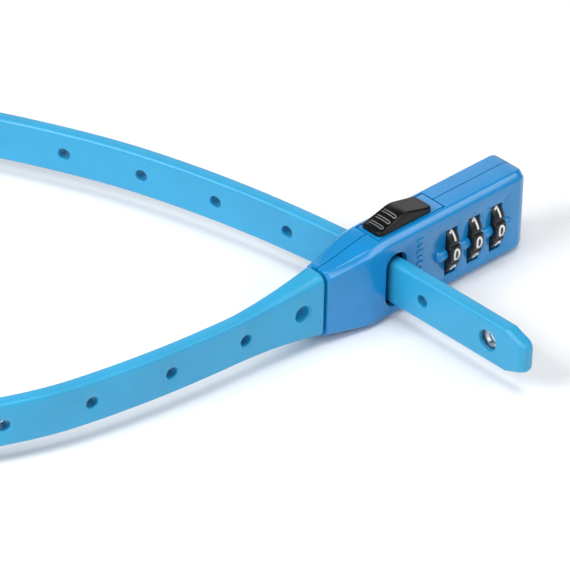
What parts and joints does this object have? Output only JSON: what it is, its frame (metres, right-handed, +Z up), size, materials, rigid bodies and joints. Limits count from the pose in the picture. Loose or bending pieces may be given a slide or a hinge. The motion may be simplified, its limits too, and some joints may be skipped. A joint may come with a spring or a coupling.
{
  "type": "combination strap lock",
  "caption": "Steel-cored plastic strap lock, looped through a slim head with three number wheels and a thumb slider.",
  "frame": {"origin": "on the head's flat base, under the head's mid-plane and 27 mm from the seam where the strap leaves the neck", "axes": "+X along the head towards the number wheels, -Y out of the face with the wheels' index bar, +Z up from the base to the slider"},
  "size_m": [0.1807, 0.1744, 0.0218],
  "materials": {
    "casing": "gloss",
    "strap": "satin",
    "black_plastic": "satin",
    "zinc": "as cast",
    "steel": "brushed",
    "spring_steel": "satin"
  },
  "bodies": {
    "head_and_strap": {"front_shell": "casing", "back_shell": "casing", "slider_track": "casing", "strap_guide": "black_plastic", "strap_jacket": "strap", "strap_core": "steel", "anchor_pin_1": "steel", "anchor_pin_2": "steel", "return_spring": "spring_steel", "detent_spring_1": "spring_steel", "detent_spring_2": "spring_steel", "detent_spring_3": "spring_steel"},
    "release_group": {"release_slider": "black_plastic", "slider_link": "zinc", "latch_bolt": "steel", "locking_spindle": "steel", "spindle_clip": "spring_steel"},
    "wheel_1": {"number_wheel_1": "black_plastic", "code_sleeve_1": "zinc"},
    "wheel_2": {"number_wheel_2": "black_plastic", "code_sleeve_2": "zinc"},
    "wheel_3": {"number_wheel_3": "black_plastic", "code_sleeve_3": "zinc"}
  },
  "joints": [
    {"name": "release_slide", "type": "slide", "parent": "head_and_strap", "child": "release_group", "axis": [1, 0, 0], "range_m": [0, 0.0025], "stiffness_N_per_m": 400, "springref_m": -0.004, "deforming": ["return_spring"]},
    {"name": "wheel_1_spin", "type": "hinge", "parent": "head_and_strap", "child": "wheel_1", "pos_m": [0.0051, 0, 0.00905], "axis": [1, 0, 0], "continuous": true, "deforming": ["detent_spring_1"]},
    {"name": "wheel_2_spin", "type": "hinge", "parent": "head_and_strap", "child": "wheel_2", "pos_m": [0.0115, 0, 0.00905], "axis": [1, 0, 0], "continuous": true, "deforming": ["detent_spring_2"]},
    {"name": "wheel_3_spin", "type": "hinge", "parent": "head_and_strap", "child": "wheel_3", "pos_m": [0.0179, 0, 0.00905], "axis": [1, 0, 0], "continuous": true, "deforming": ["detent_spring_3"]}
  ]
}
